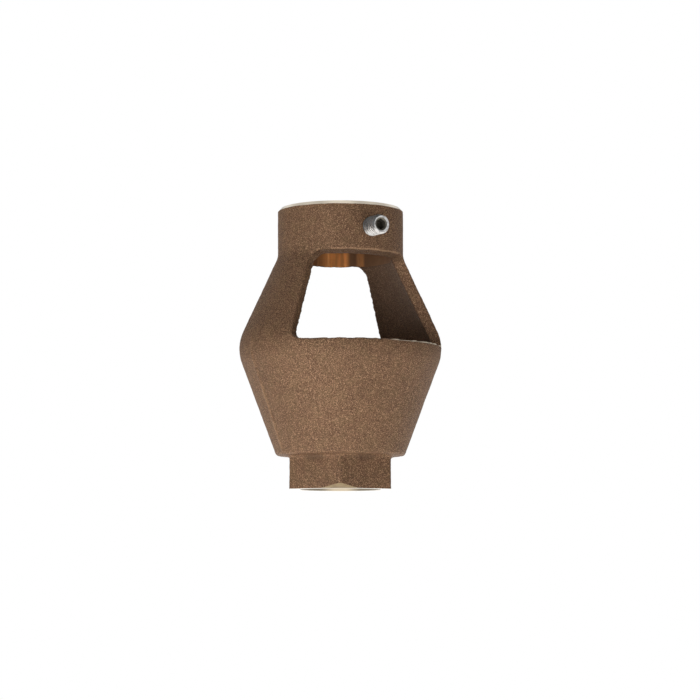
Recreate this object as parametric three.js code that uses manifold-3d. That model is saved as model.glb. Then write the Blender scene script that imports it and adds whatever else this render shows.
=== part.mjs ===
// Air gap drain fitting: a cast bronze body with two open windows, and two steel set screws.
// Millimetres, +Z up. The origin is the centre of the wrench hex's bottom face.
// The windows and the set screws face -Y and +Y. The struts between the windows stand on -X and +X.
import * as THREE from "three";
import { mergeVertices } from "three/addons/utils/BufferGeometryUtils.js";
import Module from "manifold-3d";

// The outside of the casting.
const totalHeight = 116.4;
const collarRadius = 26.05;
const collarLength = 20.5;
const collarChamfer = 1.5;
const kneeRadius = 43.25;
const kneeHeight = 58.7;
const kneeRounding = 17.5;
const neckRounding = 8;
const shoulderRounding = 1.3;

// The inside of the casting. The wall is measured level, not square to the cones.
const wall = 5;
const floorThickness = 5.6;
const floorFall = 0.16;
const boreChamfer = 0.8;

// The windows. The angles are degrees from the middle of a window.
const windowHalfAngle = 58;
const windowSillLift = 0.25;
const windowHeadLift = 0.6;
const windowHeadFall = 0.3;
const windowHeadCorner = 4.5;
const windowSillCorner = 3;

// The outlet: a female 1 inch taper pipe thread in a wrench hex.
const outletPitch = 2.209;
const outletMajorRadius = 16.6;
const outletTaper = 1 / 32;
const hexWall = 4.05;
const hexHeight = 13.9;
const hexRounding = 1.2;
const shoulderOverhang = 5.85;

// The dressed flat on one bottom corner of the hex.
const dressedHeight = 2.1;
const dressedLength = 9;

// The set screws: 5/16 inch, 18 threads to the inch, half an inch long, with a cup point.
const screwDiameter = 7.94;
const screwPitch = 1.411;
const screwLength = 12.7;
const screwStandOff = 7.3;
const socketFlats = 4;
const socketDepth = 4.2;
const cupRadius = 2;
const cupDepth = 1.3;
const screwClearance = 0.3;

// How finely round things are cut.
const bodySegments = 60;
const outletSegments = 32;
const screwSegments = 16;

// What follows from the sizes above.
const boreRadius = collarRadius - wall;
const neckHeight = totalHeight - collarLength;
const hexApothem = outletMajorRadius + hexWall;
const hexRadius = hexApothem / Math.cos(Math.PI / 6);
const shoulderRadius = hexApothem + shoulderOverhang;
const coneSlope = (kneeRadius - shoulderRadius) / (kneeHeight - hexHeight);
const floorHeight = hexHeight + floorThickness;
const outletDepth = outletPitch * 0.8;
const outletCore = outletMajorRadius - outletDepth;
const outletTopRadius = outletCore - hexHeight * outletTaper;
const floorRadius = shoulderRadius + floorThickness * coneSlope - wall;
const screwHeight = neckHeight + collarLength / 2;
const screwRadius = screwDiameter / 2;
const screwDepth = screwPitch * 0.6;

const wasm = await Module();
wasm.setup();

// Turns a three.js geometry into a solid that can be added, cut and intersected.
function solidOf(geometry) {
  const bare = geometry.clone();
  bare.deleteAttribute("normal");
  bare.deleteAttribute("uv");
  const merged = mergeVertices(bare, 1e-4);
  const mesh = new wasm.Mesh({
    numProp: 3,
    vertProperties: merged.attributes.position.array,
    triVerts: new Uint32Array(merged.index.array),
  });
  return new wasm.Manifold(mesh);
}

// Turns a solid back into a named three.js mesh.
function meshOf(solid, name, material) {
  const cut = solid.getMesh();
  const geometry = new THREE.BufferGeometry();
  geometry.setAttribute("position", new THREE.BufferAttribute(cut.vertProperties, 3));
  geometry.setIndex(new THREE.BufferAttribute(cut.triVerts, 1));
  geometry.computeVertexNormals();
  const mesh = new THREE.Mesh(geometry, material);
  mesh.name = name;
  return mesh;
}

// Rounds the corners of a profile. Each corner is [radius, height, rounding, steps].
// A rounding takes at most 45% of the shorter side next to it.
function rounded(corners) {
  const points = [];
  corners.forEach(([x, y, wanted, steps], index) => {
    const corner = new THREE.Vector2(x, y);
    if (!wanted) {
      points.push(corner);
      return;
    }
    const before = new THREE.Vector2(...corners[index - 1].slice(0, 2)).sub(corner);
    const after = new THREE.Vector2(...corners[index + 1].slice(0, 2)).sub(corner);
    const room = 0.45 * Math.min(before.length(), after.length());
    before.normalize();
    after.normalize();
    const half = Math.acos(before.dot(after)) / 2;
    const rounding = Math.min(wanted, room * Math.tan(half));
    const middle = before.clone().add(after).normalize();
    const centre = corner.clone().addScaledVector(middle, rounding / Math.sin(half));
    const first = corner.clone().addScaledVector(before, rounding / Math.tan(half)).sub(centre);
    const turn = (Math.PI - 2 * half) * Math.sign(after.cross(before));
    for (let step = 0; step <= steps; step += 1) {
      const spoke = first.clone().rotateAround(new THREE.Vector2(), (turn * step) / steps);
      points.push(spoke.add(centre));
    }
  });
  return points;
}

// Turns a profile of points around the Z axis.
function turned(points, segments) {
  return new THREE.LatheGeometry(points, segments).rotateX(Math.PI / 2);
}

// The thread form: shares of one pitch, each with the share of the full depth that is reached there.
const threadForm = [
  [0, 1],
  [0.13, 1],
  [0.5, 0],
  [0.63, 0],
];

// A closed round rod with a right-hand thread that fades out towards both ends.
function threadedRod({ low, high, pitch, core, depth, taper, fade, segments }) {
  const turns = Math.ceil((high - low) / pitch) + 1;
  const rows = [];
  for (let turn = -1; turn < turns; turn += 1) {
    threadForm.forEach(([share, reach]) => rows.push([low + (turn + share) * pitch, reach]));
  }
  const points = rows.map(([z]) => new THREE.Vector2(core, z));
  const geometry = turned([new THREE.Vector2(0, low), ...points, new THREE.Vector2(0, high)], segments);
  const position = geometry.attributes.position;
  const column = rows.length + 2;
  for (let segment = 0; segment <= segments; segment += 1) {
    rows.forEach(([start, reach], row) => {
      const angle = (segment / segments) * 2 * Math.PI;
      const climbed = start + (segment / segments) * pitch + 3e-6;
      const z = Number(THREE.MathUtils.clamp(climbed, low, high).toFixed(3));
      const full = Math.min(1, (z - low) / fade, (high - z) / fade);
      const radius = core - z * taper + depth * reach * Math.max(0, full);
      const x = Number((radius * Math.sin(angle)).toFixed(3));
      const y = Number((-radius * Math.cos(angle)).toFixed(3));
      position.setXYZ(segment * column + row + 1, x, y, z);
    });
  }
  return solidOf(geometry);
}

// A cutter for one window: its sides lie in planes through the axis, and its head falls towards the axis.
function windowCutter() {
  const sill = kneeHeight + windowSillLift;
  const head = neckHeight + windowHeadLift;
  const lowTurn = (windowSillCorner / kneeRadius) * THREE.MathUtils.RAD2DEG;
  const highTurn = (windowHeadCorner / collarRadius) * THREE.MathUtils.RAD2DEG;
  const lowSide = windowHalfAngle - lowTurn;
  const highSide = windowHalfAngle - highTurn;
  const lowMiddle = sill + windowSillCorner;
  const highMiddle = head - windowHeadCorner;
  const quarter = Math.PI / 2;
  const outline = new THREE.Shape();
  outline.moveTo(-lowSide, sill);
  outline.lineTo(lowSide, sill);
  outline.absellipse(lowSide, lowMiddle, lowTurn, windowSillCorner, -quarter, 0);
  outline.absellipse(highSide, highMiddle, highTurn, windowHeadCorner, 0, quarter);
  for (let step = 1; step < 20; step += 1) {
    outline.lineTo(THREE.MathUtils.lerp(highSide, -highSide, step / 20), head);
  }
  outline.absellipse(-highSide, highMiddle, highTurn, windowHeadCorner, quarter, 2 * quarter);
  outline.absellipse(-lowSide, lowMiddle, lowTurn, windowSillCorner, 2 * quarter, 3 * quarter);
  const near = 2;
  const far = kneeRadius / Math.cos(windowHalfAngle * THREE.MathUtils.DEG2RAD) + 10;
  const options = { depth: 1, bevelEnabled: false, curveSegments: 5 };
  const geometry = new THREE.ExtrudeGeometry(outline, options);
  const position = geometry.attributes.position;
  for (let index = 0; index < position.count; index += 1) {
    const angle = position.getX(index) * THREE.MathUtils.DEG2RAD;
    const radius = THREE.MathUtils.lerp(near, far, position.getZ(index));
    const height = position.getY(index);
    const share = Math.max(0, (height - highMiddle) / windowHeadCorner);
    const drop = (radius - collarRadius) * windowHeadFall * share;
    position.setXYZ(index, radius * Math.sin(angle), -radius * Math.cos(angle), height + drop);
  }
  return solidOf(geometry);
}

// The casting.
function castBody() {
  const outside = turned(
    rounded([
      [0, hexHeight],
      [shoulderRadius, hexHeight, shoulderRounding, 2],
      [kneeRadius, kneeHeight, kneeRounding, 6],
      [collarRadius, neckHeight, neckRounding, 2],
      [collarRadius, totalHeight - collarChamfer],
      [collarRadius - collarChamfer, totalHeight],
      [0, totalHeight],
    ]),
    bodySegments,
  );
  const innerFloor = floorHeight - (floorRadius - outletTopRadius) * floorFall;
  const inside = turned(
    rounded([
      [0, hexHeight - 2],
      [outletTopRadius, hexHeight - 2],
      [outletTopRadius, innerFloor, 1, 2],
      [floorRadius, floorHeight, 4, 3],
      [kneeRadius - wall, kneeHeight, kneeRounding - wall, 5],
      [boreRadius, neckHeight, neckRounding, 2],
      [boreRadius, totalHeight - boreChamfer],
      [boreRadius + boreChamfer + 1, totalHeight + 1],
      [0, totalHeight + 1],
    ]),
    bodySegments,
  );
  const hex = turned(
    rounded([
      [0, 0],
      [hexRadius, 0],
      [hexRadius, hexHeight, hexRounding, 3],
      [hexRadius + 2 * hexRounding, hexHeight],
      [hexRadius + 2 * hexRounding, hexHeight + 1],
      [0, hexHeight + 1],
    ]),
    6,
  ).rotateZ(Math.PI / 6);
  const outlet = threadedRod({
    low: -2 * outletPitch,
    high: hexHeight + outletPitch,
    pitch: outletPitch,
    core: outletCore,
    depth: outletDepth,
    taper: outletTaper,
    fade: outletPitch,
    segments: outletSegments,
  });
  const mouth = new THREE.CylinderGeometry(outletCore, outletMajorRadius + 1.4, outletDepth + 1.4, bodySegments);
  mouth.rotateX(Math.PI / 2);
  mouth.translate(0, 0, (outletDepth + 1.4) / 2 - 1);
  const screwHole = new THREE.CylinderGeometry(
    screwRadius + screwClearance,
    screwRadius + screwClearance,
    collarRadius * 2 + 10,
    32,
  );
  screwHole.translate(0, 0, screwHeight);
  const cutLength = dressedLength * Math.cos(Math.PI / 3);
  const dressed = new THREE.BoxGeometry(40, 40, 10);
  dressed.translate(0, 0, -5);
  dressed.rotateX(-Math.atan(dressedHeight / cutLength));
  dressed.translate(0, -(hexRadius - cutLength), 0);
  dressed.rotateZ(-Math.PI / 6);
  const window = windowCutter();
  return solidOf(outside)
    .add(solidOf(hex))
    .subtract(solidOf(inside))
    .subtract(outlet)
    .subtract(solidOf(mouth))
    .subtract(window)
    .subtract(window.rotate([0, 0, 180]))
    .subtract(solidOf(screwHole))
    .subtract(solidOf(dressed));
}

// One set screw, lying along -Y with its socket outwards.
function setScrew() {
  const rod = threadedRod({
    low: 0,
    high: screwLength,
    pitch: screwPitch,
    core: screwRadius - screwDepth,
    depth: screwDepth,
    taper: 0,
    fade: screwPitch * 0.7,
    segments: screwSegments,
  });
  const socketRadius = socketFlats / 2 / Math.cos(Math.PI / 6);
  const socket = new THREE.CylinderGeometry(socketRadius, socketRadius, socketDepth + 1, 6);
  socket.rotateX(Math.PI / 2);
  socket.translate(0, 0, screwLength + 0.5 - socketDepth / 2);
  const cup = new THREE.ConeGeometry(cupRadius * 2, cupDepth * 2, screwSegments);
  cup.rotateX(Math.PI / 2);
  return rod
    .subtract(solidOf(socket))
    .subtract(solidOf(cup))
    .rotate([90, 0, 0])
    .translate([0, -(collarRadius + screwStandOff - screwLength), screwHeight]);
}

const bronze = new THREE.MeshStandardMaterial({ color: 0x8a6a4c, metalness: 0.8, roughness: 0.6 });
const steel = new THREE.MeshStandardMaterial({ color: 0xb4b4b0, metalness: 1, roughness: 0.3 });
const group = new THREE.Group();
group.add(meshOf(castBody(), "cast_body", bronze));
group.add(meshOf(setScrew(), "front_set_screw", steel));
group.add(meshOf(setScrew().rotate([0, 0, 180]), "rear_set_screw", steel));

export default group;
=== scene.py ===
import math

import bpy
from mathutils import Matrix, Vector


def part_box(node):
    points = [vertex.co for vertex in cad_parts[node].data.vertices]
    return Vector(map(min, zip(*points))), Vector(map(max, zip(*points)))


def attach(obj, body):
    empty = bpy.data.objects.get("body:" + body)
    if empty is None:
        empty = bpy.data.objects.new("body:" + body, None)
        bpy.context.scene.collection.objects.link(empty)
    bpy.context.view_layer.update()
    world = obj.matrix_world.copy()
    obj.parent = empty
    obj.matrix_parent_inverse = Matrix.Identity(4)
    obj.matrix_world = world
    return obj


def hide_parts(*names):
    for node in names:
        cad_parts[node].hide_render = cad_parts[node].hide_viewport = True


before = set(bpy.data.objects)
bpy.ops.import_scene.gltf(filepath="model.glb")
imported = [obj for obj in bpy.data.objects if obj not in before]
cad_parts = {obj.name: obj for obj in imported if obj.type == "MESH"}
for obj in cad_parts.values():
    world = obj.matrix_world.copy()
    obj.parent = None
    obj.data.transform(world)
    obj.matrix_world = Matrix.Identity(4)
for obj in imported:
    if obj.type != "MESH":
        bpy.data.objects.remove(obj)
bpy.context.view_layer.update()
print("frame loaded")


def pick(piece):
    bpy.ops.object.select_all(action="DESELECT")
    piece.select_set(True)
    bpy.context.view_layer.objects.active = piece


def applyModifier(piece, kind, settings):
    pick(piece)
    modifier = piece.modifiers.new(kind.lower(), kind)
    for name, value in settings.items():
        setattr(modifier, name, value)
    bpy.ops.object.modifier_apply(modifier=modifier.name)


def settle(piece):
    pick(piece)
    bpy.ops.object.transform_apply(location=True, rotation=True, scale=True)


def tidyNormals(piece):
    pick(piece)
    bpy.ops.object.mode_set(mode="EDIT")
    bpy.ops.mesh.select_all(action="SELECT")
    bpy.ops.mesh.remove_doubles(threshold=0.000002)
    bpy.ops.mesh.normals_make_consistent(inside=False)
    bpy.ops.object.mode_set(mode="OBJECT")


def combine(piece, other, operation):
    # both shapes have to be closed, and cut faces take the cutter's finish
    settings = {"object": other, "operation": operation, "solver": "MANIFOLD", "material_mode": "TRANSFER"}
    applyModifier(piece, "BOOLEAN", settings)
    bpy.data.objects.remove(other, do_unlink=True)


def roundedPath(corners):
    # each corner is (radius, height) or (radius, height, rounding, steps)
    path = []
    for index, corner in enumerate(corners):
        if len(corner) == 2:
            path.append(corner)
            continue
        x, z, rounding, steps = corner
        sides = []
        for neighbour in (corners[index - 1], corners[index + 1]):
            reach = math.hypot(neighbour[0] - x, neighbour[1] - z)
            sides.append(((neighbour[0] - x) / reach, (neighbour[1] - z) / reach))
        (ax, az), (bx, bz) = sides
        half = math.acos(ax * bx + az * bz) / 2
        middle = math.hypot(ax + bx, az + bz)
        centreX = x + (ax + bx) / middle * rounding / math.sin(half)
        centreZ = z + (az + bz) / middle * rounding / math.sin(half)
        startX = x + ax * rounding / math.tan(half) - centreX
        startZ = z + az * rounding / math.tan(half) - centreZ
        turn = math.copysign(math.pi - 2 * half, bx * az - bz * ax)
        for step in range(steps + 1):
            angle = turn * step / steps
            px = startX * math.cos(angle) - startZ * math.sin(angle)
            pz = startX * math.sin(angle) + startZ * math.cos(angle)
            path.append((centreX + px, centreZ + pz))
    return path


def drawPath(name, path):
    bpy.ops.mesh.primitive_plane_add(size=0.001)
    piece = bpy.context.object
    piece.name = name
    bpy.ops.object.mode_set(mode="EDIT")
    bpy.ops.mesh.select_mode(type="VERT")
    bpy.ops.mesh.select_all(action="SELECT")
    bpy.ops.mesh.merge(type="CENTER")
    bpy.ops.transform.translate(value=(path[0][0], 0, path[0][1]))
    for before, after in zip(path, path[1:]):
        step = (after[0] - before[0], 0, after[1] - before[1])
        bpy.ops.mesh.extrude_region_move(TRANSFORM_OT_translate={"value": step})
    bpy.ops.mesh.select_all(action="SELECT")
    return piece


def turnPath(name, path, steps, material=None):
    piece = drawPath(name, path)
    bpy.ops.mesh.spin(steps=steps, angle=math.tau, center=(0, 0, 0), axis=(0, 0, 1))
    bpy.ops.object.mode_set(mode="OBJECT")
    tidyNormals(piece)
    if material:
        piece.data.materials.append(material)
    return piece


def coil(name, path, pitch, turns, steps):
    # a closed ridge that climbs as a right-hand thread, centred on height zero where it starts
    piece = drawPath(name, path + path[:1])
    bpy.ops.mesh.remove_doubles(threshold=0.000002)
    bpy.ops.object.mode_set(mode="OBJECT")
    settings = {"steps": steps, "render_steps": steps, "iterations": turns, "screw_offset": pitch}
    applyModifier(piece, "SCREW", settings)
    bpy.ops.object.mode_set(mode="EDIT")
    bpy.ops.mesh.select_all(action="SELECT")
    bpy.ops.mesh.fill_holes(sides=0)
    bpy.ops.object.mode_set(mode="OBJECT")
    tidyNormals(piece)
    return piece


def roughen(piece, name, size, strength, depth=1):
    texture = bpy.data.textures.new(name, "CLOUDS")
    texture.noise_scale = size
    texture.noise_depth = depth
    settings = {"texture": texture, "texture_coords": "GLOBAL", "strength": strength, "mid_level": 0.5}
    applyModifier(piece, "DISPLACE", settings)


class Wire:
    def __init__(self, tree, socket=None):
        self.tree = tree
        self.socket = socket

    def make(self, kind, settings, inputs, output=0):
        node = self.tree.nodes.new(kind)
        for name, value in settings.items():
            setattr(node, name, value)
        for name, value in inputs.items():
            if isinstance(value, Wire):
                self.tree.links.new(value.socket, node.inputs[name])
            else:
                node.inputs[name].default_value = value
        return Wire(self.tree, node.outputs[output])

    def maths(self, operation, *values):
        return self.make("ShaderNodeMath", {"operation": operation}, dict(enumerate(values)))

    def __add__(self, other):
        return self.maths("ADD", self, other)

    def __radd__(self, other):
        return self.maths("ADD", other, self)

    def __sub__(self, other):
        return self.maths("SUBTRACT", self, other)

    def __rsub__(self, other):
        return self.maths("SUBTRACT", other, self)

    def __mul__(self, other):
        return self.maths("MULTIPLY", self, other)

    def __rmul__(self, other):
        return self.maths("MULTIPLY", other, self)

    def __abs__(self):
        return self.maths("ABSOLUTE", self)

    def sine(self):
        return self.maths("SINE", self)

    def ramp(self, low, high):
        settings = {"interpolation_type": "SMOOTHSTEP"}
        return self.make("ShaderNodeMapRange", settings, {"Value": self, "From Min": low, "From Max": high})

    def noise(self, scale, detail=2.0):
        inputs = {"Vector": self, "Scale": scale, "Detail": detail}
        return self.make("ShaderNodeTexNoise", {}, inputs)

    def axis(self, name):
        return self.make("ShaderNodeSeparateXYZ", {}, {0: self}, name)

    def blend(self, first, second):
        inputs = {0: self, 6: first, 7: second}
        return self.make("ShaderNodeMix", {"data_type": "RGBA"}, inputs, 2)

    def bump(self, distance, strength=1.0):
        inputs = {"Height": self, "Distance": distance, "Strength": strength}
        return self.make("ShaderNodeBump", {}, inputs)


def newMaterial(name, constants):
    material = bpy.data.materials.new(name)
    material.use_nodes = True
    tree = material.node_tree
    shader = tree.nodes["Principled BSDF"]
    for socket, value in constants.items():
        shader.inputs[socket].default_value = value
    place = Wire(tree).make("ShaderNodeTexCoord", {}, {}, "Object")

    def feed(socket, wire):
        tree.links.new(wire.socket, shader.inputs[socket])

    return material, place, feed


castLook = {
    "dark": (0.085, 0.046, 0.026, 1),
    "middle": (0.212, 0.109, 0.058, 1),
    "light": (0.62, 0.375, 0.215, 1),
    "olive": (0.17, 0.125, 0.055, 1),
    "edge": (0.95, 0.84, 0.66, 1),
    "metallic": 0.3,
    "specular": 0.3,
    "grainScale": 3900,
    "grainHeight": 0.00026,
    "blotchScale": 120,
    "partingStrength": 0.17,
    "sillHeight": 0.0589,
    "headHeight": 0.0966,
    "shoulder": 0.0265,
    "shoulderHeight": 0.0139,
    "coneSlope": 0.374,
    "knee": 0.04325,
    "kneeHeight": 0.0587,
    "domeSlope": 0.462,
}

castSettings = {"Metallic": castLook["metallic"], "Specular IOR Level": castLook["specular"]}
castBronze, place, feed = newMaterial("castBronze", castSettings)
grain = place.noise(castLook["grainScale"], 2.0)
coarse = place.noise(castLook["grainScale"] / 2, 2.0)
blotch = place.noise(castLook["blotchScale"], 4.0)
speck = grain * 0.7 + coarse * 0.3
tone = speck.ramp(0.40, 0.55) * 0.85 + blotch.ramp(0.3, 0.7) * 0.15
sparkle = speck.ramp(0.52, 0.64)
height = place.axis("Z")
across = place.make("ShaderNodeVectorMath", {"operation": "MULTIPLY"}, {0: place, 1: (1, 1, 0)})
distance = across.make("ShaderNodeVectorMath", {"operation": "LENGTH"}, {0: across}, "Value")
# pale line of the mould's joint, down both sides of the funnel
parting = 1 - abs(place.axis("Y") + place.noise(170, 2.0) * 0.0012 - 0.0006).ramp(0.0004, 0.0013)
parting = parting * height.ramp(0.014, 0.018) * (1 - height.ramp(0.056, 0.062))
parting = parting * blotch.ramp(0.35, 0.6) * castLook["partingStrength"]
# painted highlight: a bright line along the front part of the window sills' outer edge, where the edge
# catches the light
sill = (1 - abs(height - castLook["sillHeight"]).ramp(0.00025, 0.0006)) * distance.ramp(0.0408, 0.0413)
sill = sill * place.axis("X").ramp(-0.004, 0.008) * abs(place.axis("Y")).ramp(0.0205, 0.0222)
sill = sill * place.noise(420, 2.0).ramp(0.35, 0.5)
# painted shade: the inside of the casting, away from the outer skin, is darkened
cone = castLook["shoulder"] + (height - castLook["shoulderHeight"]) * castLook["coneSlope"]
dome = castLook["knee"] - (height - castLook["kneeHeight"]) * castLook["domeSlope"]
outline = cone.make("ShaderNodeMath", {"operation": "MINIMUM"}, {0: cone, 1: dome})
insideShade = (outline - distance).ramp(0.0045, 0.0052)
# painted highlight along the upper edge and painted shade on the face of the window heads
headHighlight = 1 - abs(height - castLook["headHeight"]).ramp(0.0002, 0.0006)
headHighlight = headHighlight * (1 - abs(place.axis("X")).ramp(0.014, 0.018))
headHighlight = headHighlight * distance.ramp(0.0252, 0.0257) * 0.3
headShade = height.ramp(0.0938, 0.0946) * (0.0257 - distance).ramp(0, 0.0005) * 0.45
colour = tone.blend(castLook["dark"], castLook["middle"])
colour = (place.noise(240, 3.0).ramp(0.4, 0.65) * 0.18).blend(colour, castLook["olive"])
# lighter specks and the mould's joint, with the painted highlight on the window heads' upper edge
colour = (sparkle * 0.75 + parting + headHighlight).blend(colour, castLook["light"])
# painted shade on the window heads' faces and on the casting's inside
colour = (headShade + (1 - headShade) * insideShade * 0.55).blend(colour, castLook["dark"])
# painted highlight along the sills' outer edge
colour = sill.blend(colour, castLook["edge"])
feed("Base Color", colour)
feed("Roughness", 0.60 - sparkle * 0.2)
feed("Normal", speck.bump(castLook["grainHeight"], 0.9))

turnedLook = {
    # inside is the painted reflection's colour in the bore, shade its painted shade
    "inside": (0.95, 0.41, 0.13, 1),
    "shade": (0.19, 0.10, 0.05, 1),
    "pale": (0.92, 0.82, 0.67, 1),
    "thread": (0.22, 0.19, 0.145, 1),
    "centre": (0.62, 0.53, 0.40, 1),
    "face": (0.99, 0.97, 0.94, 1),
    "lineScale": 5200,
    "boreRadius": 0.02105,
    "turn": 29.5,
}
turnedBronze, place, feed = newMaterial("turnedBronze", {"Metallic": 0.8})
height = place.axis("Z")
across = place.make("ShaderNodeVectorMath", {"operation": "MULTIPLY"}, {0: place, 1: (1, 1, 0)})
distance = across.make("ShaderNodeVectorMath", {"operation": "LENGTH"}, {0: across}, "Value")
turn = math.radians(turnedLook["turn"])
side = place.axis("X") * math.cos(turn) - place.axis("Y") * math.sin(turn)
lines = ((distance + height) * turnedLook["lineScale"]).sine()
streaks = place.make("ShaderNodeMapping", {}, {"Vector": place, "Scale": (260, 260, 30)}).noise(1.0, 2.0)
# painted reflection: bright orange bands down the bore, with painted shade on either side, set across the
# bore by the turn
reflectionMask = (1 - side.ramp(0.002, 0.0045)) * (side.ramp(-0.0105, -0.003) * 0.7 + 0.3)
reflectionMask = reflectionMask + side.ramp(0.0062, 0.0078) * (1 - side.ramp(0.0092, 0.0105)) * 0.4
inside = (reflectionMask * (streaks.ramp(0.3, 0.55) * 0.5 + 0.5)).blend(turnedLook["shade"], turnedLook["inside"])
# painted highlight: the outlet's thread is lighter across the middle, by the turn, and darker at the sides
thread = abs(side).ramp(0.002, 0.009).blend(turnedLook["centre"], turnedLook["thread"])
upper = height.ramp(0.05, 0.06)
rim = distance.ramp(turnedLook["boreRadius"] + 0.0001, turnedLook["boreRadius"] + 0.0006) * upper
# the machined bottom face is near-white: pale machined bronze with a painted highlight over it
face = 1 - height.ramp(0.00002, 0.0001)
colour = rim.blend(upper.blend(thread, inside), turnedLook["pale"])
feed("Base Color", face.blend(colour, turnedLook["face"]))
feed("Roughness", (0.42 + streaks * 0.2) * (1 - rim) + rim * 0.28)
feed("Normal", lines.bump(0.00002, 0.35))

groundLook = {"colour": (0.25, 0.17, 0.08, 1), "pale": (0.37, 0.27, 0.14, 1)}
groundBronze, place, feed = newMaterial("groundBronze", {"Metallic": 0.9})
scratches = place.make("ShaderNodeMapping", {}, {"Vector": place, "Scale": (300, 2600, 2600)})
scratches = scratches.noise(1.0, 2.0)
feed("Base Color", scratches.ramp(0.35, 0.65).blend(groundLook["colour"], groundLook["pale"]))
feed("Roughness", 0.34 + scratches * 0.2)
feed("Normal", scratches.bump(0.00005, 0.6))

steelLook = {"colour": (0.80, 0.79, 0.78, 1), "dark": (0.46, 0.45, 0.44, 1)}
screwSteel, place, feed = newMaterial("screwSteel", {"Metallic": 1.0})
smudge = place.noise(420, 2.0)
feed("Base Color", smudge.ramp(0.4, 0.7).blend(steelLook["colour"], steelLook["dark"]))
feed("Roughness", 0.08 + smudge * 0.12)
# painted shade: the screw's socket and its countersink get a dark steel colour
socketSettings = {"Base Color": (0.17, 0.155, 0.125, 1), "Metallic": 0.7, "Roughness": 0.36}
shadedSocketSteel = newMaterial("shadedSocketSteel", socketSettings)[0]
print("materials made")

lowCorner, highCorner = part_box("cast_body")
casting = {
    "totalHeight": highCorner.z,
    "kneeRadius": highCorner.x + 0.00146,
    "kneeHeight": 0.0587,
    "kneeRounding": 0.0175,
    "collarRadius": 0.02605,
    "collarLength": 0.0205,
    "collarChamfer": 0.0015,
    "hexApothem": 0.02065,
    "hexHeight": 0.0139,
    "shoulderRadius": 0.0265,
    "wall": 0.005,
    "floorThickness": 0.0056,
    "floorSlope": 0.16,
    "throatRadius": 0.0144,
    "skin": 0.00012,
    "allowance": 0.0006,
    "voxel": 0.00062,
    "triangles": 165000,
}
neckHeight = casting["totalHeight"] - casting["collarLength"]
hexRadius = casting["hexApothem"] / math.cos(math.pi / 6)
coneHeight = casting["kneeHeight"] - casting["hexHeight"]
coneSlope = (casting["kneeRadius"] - casting["shoulderRadius"]) / coneHeight
skin = casting["skin"]

cast = turnPath("casting", roundedPath([
    (0, casting["hexHeight"]),
    (casting["shoulderRadius"] - skin, casting["hexHeight"], 0.0013, 4),
    (casting["kneeRadius"] - skin, casting["kneeHeight"], casting["kneeRounding"], 14),
    (casting["collarRadius"] - skin, neckHeight, 0.008, 5),
    (casting["collarRadius"] - skin, casting["totalHeight"] + 0.001),
    (0, casting["totalHeight"] + 0.001),
]), 240, castBronze)

# the hex, flared where it runs into the shoulder
bpy.ops.mesh.primitive_cylinder_add(vertices=6, radius=hexRadius, depth=casting["hexHeight"] - 0.0002)
hexBlank = bpy.context.object
bpy.ops.transform.translate(value=(0, 0, casting["hexHeight"] / 2 - 0.0011))
bpy.ops.transform.rotate(value=math.pi / 6, orient_axis="Z", center_override=(0, 0, 0))
settle(hexBlank)
bpy.ops.object.mode_set(mode="EDIT")
bpy.ops.mesh.select_mode(type="FACE")
bpy.ops.mesh.select_all(action="DESELECT")
bpy.ops.object.mode_set(mode="OBJECT")
for face in hexBlank.data.polygons:
    face.select = face.normal.z > 0.9
bpy.ops.object.mode_set(mode="EDIT")
for rise, spread in ((0.00045, 1.006), (0.0004, 1.016), (0.0003, 1.03), (0.0008, 1.0)):
    bpy.ops.mesh.extrude_region_move(TRANSFORM_OT_translate={"value": (0, 0, rise)})
    bpy.ops.transform.resize(value=(spread, spread, 1))
bpy.ops.mesh.select_mode(type="EDGE")
bpy.ops.mesh.select_all(action="DESELECT")
bpy.ops.object.mode_set(mode="OBJECT")
points = hexBlank.data.vertices
for edge in hexBlank.data.edges:
    start, end = (points[index].co for index in edge.vertices)
    edge.select = abs(start.z - end.z) > 0.0002
bpy.ops.object.mode_set(mode="EDIT")
bpy.ops.mesh.bevel(offset=0.0007, segments=3, affect="EDGES")
bpy.ops.object.mode_set(mode="OBJECT")
combine(cast, hexBlank, "UNION")

# the ridge that the mould's joint leaves, cut as a thin slab of a slightly larger casting
flash = {"height": 0.0003, "thickness": 0.0009, "bottom": 0.0155, "top": 0.0600}
ridge = turnPath("ridge", roundedPath([
    (0, casting["hexHeight"]),
    (casting["shoulderRadius"] + flash["height"], casting["hexHeight"]),
    (casting["kneeRadius"] + flash["height"], casting["kneeHeight"], casting["kneeRounding"], 14),
    (casting["collarRadius"] + flash["height"], neckHeight),
    (0, neckHeight),
]), 120)
bpy.ops.mesh.primitive_cylinder_add(vertices=120, radius=highCorner.x - 0.00004, depth=0.2)
combine(ridge, bpy.context.object, "INTERSECT")
bpy.ops.mesh.primitive_cube_add(size=1)
slab = bpy.context.object
bpy.ops.transform.resize(value=(0.2, flash["thickness"], flash["top"] - flash["bottom"]))
bpy.ops.transform.translate(value=(0, 0, (flash["top"] + flash["bottom"]) / 2))
settle(slab)
combine(ridge, slab, "INTERSECT")
combine(cast, ridge, "UNION")

boreRadius = casting["collarRadius"] - casting["wall"]
floorHeight = casting["hexHeight"] + casting["floorThickness"]
floorRadius = casting["shoulderRadius"] + casting["floorThickness"] * coneSlope - casting["wall"]
throatRadius = casting["throatRadius"]
innerFloor = floorHeight - (floorRadius - throatRadius) * casting["floorSlope"]
hollow = turnPath("hollow", roundedPath([
    (0, 0.010),
    (throatRadius - 0.001, 0.010),
    (throatRadius - 0.001, innerFloor, 0.001, 3),
    (floorRadius, floorHeight, 0.004, 6),
    (casting["kneeRadius"] - casting["wall"] + skin, casting["kneeHeight"], 0.0125, 12),
    (boreRadius - casting["allowance"], neckHeight, 0.008, 5),
    (boreRadius - casting["allowance"], casting["totalHeight"] + 0.003),
    (0, casting["totalHeight"] + 0.003),
]), 240)
combine(cast, hollow, "DIFFERENCE")

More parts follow.
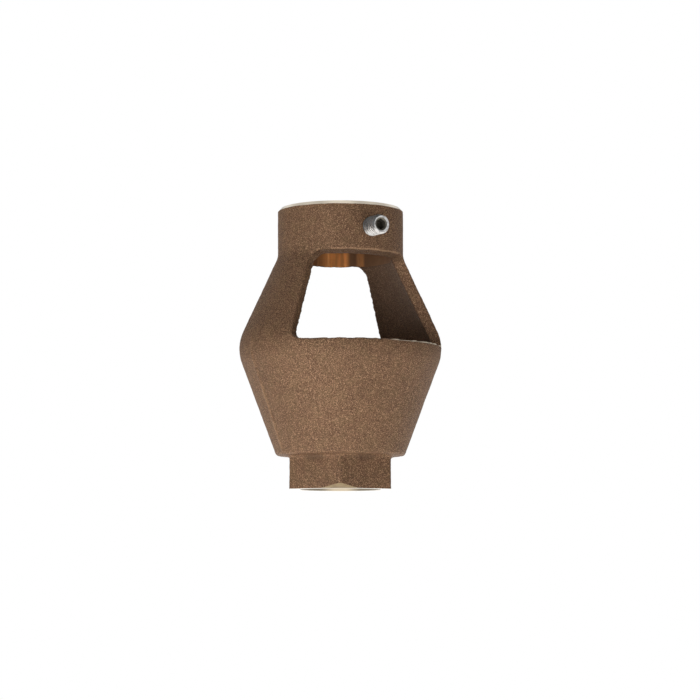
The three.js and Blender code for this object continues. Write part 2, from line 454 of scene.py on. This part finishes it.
window = {
    "halfAngle": 58,
    "sill": casting["kneeHeight"] + 0.00025,
    "head": neckHeight + 0.0006,
    "fall": 0.3,
    "rearDrop": 0.0004,
    "sillCorner": 0.0036,
    "headCorner": 0.0045,
    "near": 0.0185,
    "far": 0.055,
    "ragged": 0.0009,
}
for turn, drop in ((0, 0), (180, window["rearDrop"])):
    near, far, fall = window["near"], window["far"], window["fall"]
    head = window["head"] - drop
    path = [
        (near, window["sill"]),
        (far, window["sill"]),
        (far, head + (far - casting["collarRadius"]) * fall),
        (near, head - (casting["collarRadius"] - near) * fall),
    ]
    # a wedge swept round the axis, whose long side edges are then rounded
    cutter = drawPath("cutter", path)
    bpy.ops.mesh.edge_face_add()
    spread = math.radians(2 * window["halfAngle"])
    bpy.ops.mesh.spin(steps=5, angle=spread, center=(0, 0, 0), axis=(0, 0, 1))
    bpy.ops.object.mode_set(mode="OBJECT")
    tidyNormals(cutter)
    sweep = max(point.co.y for point in cutter.data.vertices) > 0.02
    middle = spread / 2 if sweep else -spread / 2
    bpy.ops.object.mode_set(mode="EDIT")
    bpy.ops.mesh.select_mode(type="EDGE")
    bpy.ops.mesh.select_all(action="DESELECT")
    bpy.ops.object.mode_set(mode="OBJECT")
    points = cutter.data.vertices
    for low, reach in ((True, window["sillCorner"]), (False, window["headCorner"])):
        for edge in cutter.data.edges:
            start, end = (points[index].co for index in edge.vertices)
            angles = [abs(abs(math.atan2(co.y, co.x) - middle) - spread / 2) for co in (start, end)]
            radial = (start - end).length > 0.03 and abs(start.z - end.z) < 0.02
            atSill = max(start.z, end.z) < window["sill"] + 0.001
            atHead = min(start.z, end.z) > neckHeight - 0.01
            edge.select = radial and max(angles) < 0.01 and (atSill if low else atHead)
        bpy.ops.object.mode_set(mode="EDIT")
        bpy.ops.mesh.bevel(offset=reach, segments=8, affect="EDGES")
        bpy.ops.mesh.select_all(action="DESELECT")
        bpy.ops.object.mode_set(mode="OBJECT")
        points = cutter.data.vertices
    swing = math.pi / 2 + middle - math.radians(turn)
    bpy.ops.transform.rotate(value=swing, orient_axis="Z", center_override=(0, 0, 0))
    settle(cutter)
    applyModifier(cutter, "REMESH", {"mode": "VOXEL", "voxel_size": 0.0009})
    roughen(cutter, "ragged", 0.0022, window["ragged"], 2)
    combine(cast, cutter, "DIFFERENCE")
    print("window cut", turn)

# one skin with slow waves and fine pits, kept inside the casting's widest circle
applyModifier(cast, "REMESH", {"mode": "VOXEL", "voxel_size": casting["voxel"]})
roughen(cast, "waves", 0.009, 0.00022)
roughen(cast, "pits", 0.0014, 0.00022, 2)
bpy.ops.mesh.primitive_cylinder_add(vertices=480, radius=highCorner.x - 0.00001, depth=0.3)
bpy.context.object.data.materials.append(castBronze)
combine(cast, bpy.context.object, "INTERSECT")
print("blank", len(cast.data.polygons))

triangles = 2 * len(cast.data.polygons)
applyModifier(cast, "DECIMATE", {"ratio": min(1, casting["triangles"] / triangles)})
pick(cast)
bpy.ops.object.shade_smooth()

# machining: bore and rim, outlet and its thread, screw holes
rimTool = turnPath("rimTool", [
    (0, neckHeight - 0.0022),
    (boreRadius, neckHeight - 0.0022),
    (boreRadius, casting["totalHeight"] - 0.0008),
    (boreRadius + 0.0008, casting["totalHeight"]),
    (casting["collarRadius"] - casting["collarChamfer"], casting["totalHeight"]),
    (casting["collarRadius"] + 0.002, casting["totalHeight"] - casting["collarChamfer"] - 0.002),
    (casting["collarRadius"] + 0.002, casting["totalHeight"] + 0.004),
    (0, casting["totalHeight"] + 0.004),
], 192, turnedBronze)
combine(cast, rimTool, "DIFFERENCE")

outlet = {"pitch": 0.002209, "major": 0.0166, "taper": 1 / 32, "mouth": 0.0168}
core = outlet["major"] - outlet["pitch"] * 0.8
outletTool = turnPath("outletTool", [
    (0, -0.004),
    (0.03, -0.004),
    (0.03, 0),
    (outlet["mouth"], 0),
    (core - 0.0001, outlet["mouth"] - core),
    (core - 0.0205 * outlet["taper"], 0.0205),
    (0, 0.0205),
], 192, turnedBronze)
combine(cast, outletTool, "DIFFERENCE")

pitch = outlet["pitch"]
tooth = [
    (core - 0.0006, -0.47 * pitch),
    (outlet["major"], -0.05 * pitch),
    (outlet["major"], 0.05 * pitch),
    (core - 0.0006, 0.47 * pitch),
]
threadTool = coil("threadTool", tooth, pitch, 8, 96)
bpy.ops.transform.translate(value=(0, 0, -0.0025))
settle(threadTool)
taper = {"deform_method": "TAPER", "deform_axis": "Z", "factor": -outlet["taper"] / outlet["major"]}
applyModifier(threadTool, "SIMPLE_DEFORM", taper)
threadTool.data.materials.append(turnedBronze)
combine(cast, threadTool, "DIFFERENCE")

screwLow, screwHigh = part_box("front_set_screw")
screwHeight = (screwLow.z + screwHigh.z) / 2
screwRadius = (screwHigh.x - screwLow.x) / 2
bpy.ops.mesh.primitive_cylinder_add(vertices=64, radius=screwRadius + 0.00016, depth=0.07)
hole = bpy.context.object
bpy.ops.transform.rotate(value=math.pi / 2, orient_axis="X", center_override=(0, 0, 0))
bpy.ops.transform.translate(value=(0, 0, screwHeight))
settle(hole)
hole.data.materials.append(turnedBronze)
combine(cast, hole, "DIFFERENCE")

# one bottom corner of the hex is ground to a flat
dressed = {"height": 0.0021, "length": 0.009}
reach = dressed["length"] * math.cos(math.pi / 3)
bpy.ops.mesh.primitive_cube_add(size=0.03)
block = bpy.context.object
bpy.ops.transform.translate(value=(0, 0, -0.015))
slant = math.atan(dressed["height"] / reach)
bpy.ops.transform.rotate(value=slant, orient_axis="X", center_override=(0, 0, 0))
bpy.ops.transform.translate(value=(0, -(hexRadius - reach), 0))
bpy.ops.transform.rotate(value=math.radians(30), orient_axis="Z", center_override=(0, 0, 0))
settle(block)
block.data.materials.append(groundBronze)
combine(cast, block, "DIFFERENCE")
pick(cast)
bpy.ops.object.shade_smooth_by_angle(angle=math.radians(32))
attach(cast, "casting")
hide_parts("cast_body")
print("casting", len(cast.data.polygons), [material.name for material in cast.data.materials])

screw = {
    "pitch": 0.001411,
    "depth": 0.00087,
    "chamfer": 0.0003,
    "socketFlats": 0.004,
    "socketDepth": 0.0042,
    "mouth": 0.00265,
    "sink": 0.0004,
}


def makeScrew(name, node, turn):
    low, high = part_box(node)
    length = high.y - low.y
    radius = (high.x - low.x) / 2
    pitch = screw["pitch"]
    root = radius - screw["depth"]
    turns = round(length / pitch) + 3
    # built upright with its cup point at zero, then laid along the hole
    rod = turnPath(name, [(0, 0), (root, 0), (root, length), (0, length)], 64, screwSteel)
    ridge = coil("ridge", [
        (root - 0.0003, -0.44 * pitch),
        (radius, -0.06 * pitch),
        (radius, 0.06 * pitch),
        (root - 0.0003, 0.44 * pitch),
    ], pitch, turns, 64)
    bpy.ops.transform.translate(value=(0, 0, -pitch))
    settle(ridge)
    ridge.data.materials.append(screwSteel)
    combine(rod, ridge, "UNION")
    envelope = turnPath("envelope", [
        (0, 0.0011),
        (0.0021, 0),
        (0.0026, 0),
        (radius, radius - 0.0026),
        (radius, length - screw["chamfer"]),
        (radius - screw["chamfer"], length),
        (0, length),
    ], 64, screwSteel)
    combine(rod, envelope, "INTERSECT")
    socketRadius = screw["socketFlats"] / 2 / math.cos(math.pi / 6)
    bpy.ops.mesh.primitive_cylinder_add(vertices=6, radius=socketRadius, depth=screw["socketDepth"] * 2)
    socket = bpy.context.object
    bpy.ops.transform.translate(value=(0, 0, length))
    settle(socket)
    socket.data.materials.append(shadedSocketSteel)
    combine(rod, socket, "DIFFERENCE")
    mouth = turnPath("mouth", [
        (0, length - screw["sink"]),
        (screw["mouth"] - 2 * screw["sink"], length - screw["sink"]),
        (screw["mouth"] + 0.0004, length + 0.0002),
        (0, length + 0.0002),
    ], 64, shadedSocketSteel)
    combine(rod, mouth, "DIFFERENCE")
    pick(rod)
    bpy.ops.transform.rotate(value=-math.pi / 2, orient_axis="X", center_override=(0, 0, 0))
    middle = (low.z + high.z) / 2
    inner = high.y if turn == 0 else -low.y
    bpy.ops.transform.translate(value=(0, inner, middle))
    if turn:
        bpy.ops.transform.rotate(value=math.radians(turn), orient_axis="Z", center_override=(0, 0, 0))
    settle(rod)
    bpy.ops.object.shade_smooth_by_angle(angle=math.radians(35))
    print(name, len(rod.data.polygons))
    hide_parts(node)
    return rod


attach(makeScrew("frontSetScrew", "front_set_screw", 0), "front_screw")
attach(makeScrew("rearSetScrew", "rear_set_screw", 180), "rear_screw")
print("screws made")

studio = {
    "reach": 0.994,
    "heading": 29.5,
    "height": -0.0345,
    "tilt": 5.3,
    "aside": 0.228,
    "lens": 124.2,
    "floor": -0.3,
    "floorGlow": 0.9,
}
heading = math.radians(studio["heading"])
bpy.ops.object.camera_add(
    location=(-studio["reach"] * math.sin(heading), -studio["reach"] * math.cos(heading), studio["height"]),
    rotation=(math.radians(90 + studio["tilt"]), 0, -heading - math.radians(studio["aside"])),
)
camera = bpy.context.object
camera.data.lens = studio["lens"]
camera.data.sensor_width = 36
camera.data.clip_end = 50
bpy.context.scene.camera = camera

floorSettings = {
    "Base Color": (0.8, 0.8, 0.79, 1),
    "Roughness": 0.8,
    "Emission Color": (1, 0.98, 0.95, 1),
    "Emission Strength": studio["floorGlow"],
}
floorLook = newMaterial("paleFloor", floorSettings)[0]
bpy.ops.mesh.primitive_plane_add(size=5, location=(0, 0, studio["floor"]))
floor = bpy.context.object
floor.name = "floor"
floor.data.materials.append(floorLook)

skyLook = {"around": 0.19, "behind": 0.16, "overhead": 0.5}
world = bpy.data.worlds.new("softWhite")
world.use_nodes = True
bpy.context.scene.world = world
tree = world.node_tree
sky = Wire(tree).make("ShaderNodeTexCoord", {}, {}, "Generated")
forward = (math.sin(heading), math.cos(heading), 0.09)
behind = sky.make("ShaderNodeVectorMath", {"operation": "DOT_PRODUCT"}, {0: sky, 1: forward}, "Value")
glow = behind.ramp(0.1, 0.95) * skyLook["behind"] + skyLook["around"]
glow = glow * (1 - sky.axis("Z").ramp(0.1, 0.9) * skyLook["overhead"])
seen = sky.make("ShaderNodeLightPath", {}, {}, "Is Camera Ray")
unlit = sky.make("ShaderNodeBackground", {}, {"Color": (0, 0, 0, 1)})
lit = sky.make("ShaderNodeBackground", {}, {"Color": (1, 1, 1, 1)})
mixed = sky.make("ShaderNodeMixShader", {}, {0: glow + (1 - glow) * seen, 1: unlit, 2: lit})
tree.links.new(mixed.socket, tree.nodes["World Output"].inputs["Surface"])
bpy.context.scene.view_settings.view_transform = "Standard"


def softLight(name, azimuth, elevation, distance, size, power):
    # azimuth and elevation are seen from the object, as the camera's are
    turn, lift = math.radians(azimuth), math.radians(elevation)
    spot = (
        distance * math.sin(turn) * math.cos(lift),
        -distance * math.cos(turn) * math.cos(lift),
        0.06 + distance * math.sin(lift),
    )
    bpy.ops.object.light_add(type="AREA", location=spot, rotation=(math.radians(90) - lift, 0, turn))
    light = bpy.context.object
    light.name = name
    light.data.size = size
    light.data.energy = power
    light.visible_camera = False


softLight("keyLight", -60, -14, 0.75, 0.5, 2.6)
softLight("screwLight", 29.5, 8, 0.8, 0.25, 0.11)
softLight("rimLight", -29.5, 84, 0.8, 0.4, 0.55)
softLight("backLight", 150.5, 52, 0.9, 0.8, 1.6)
print("stage set")
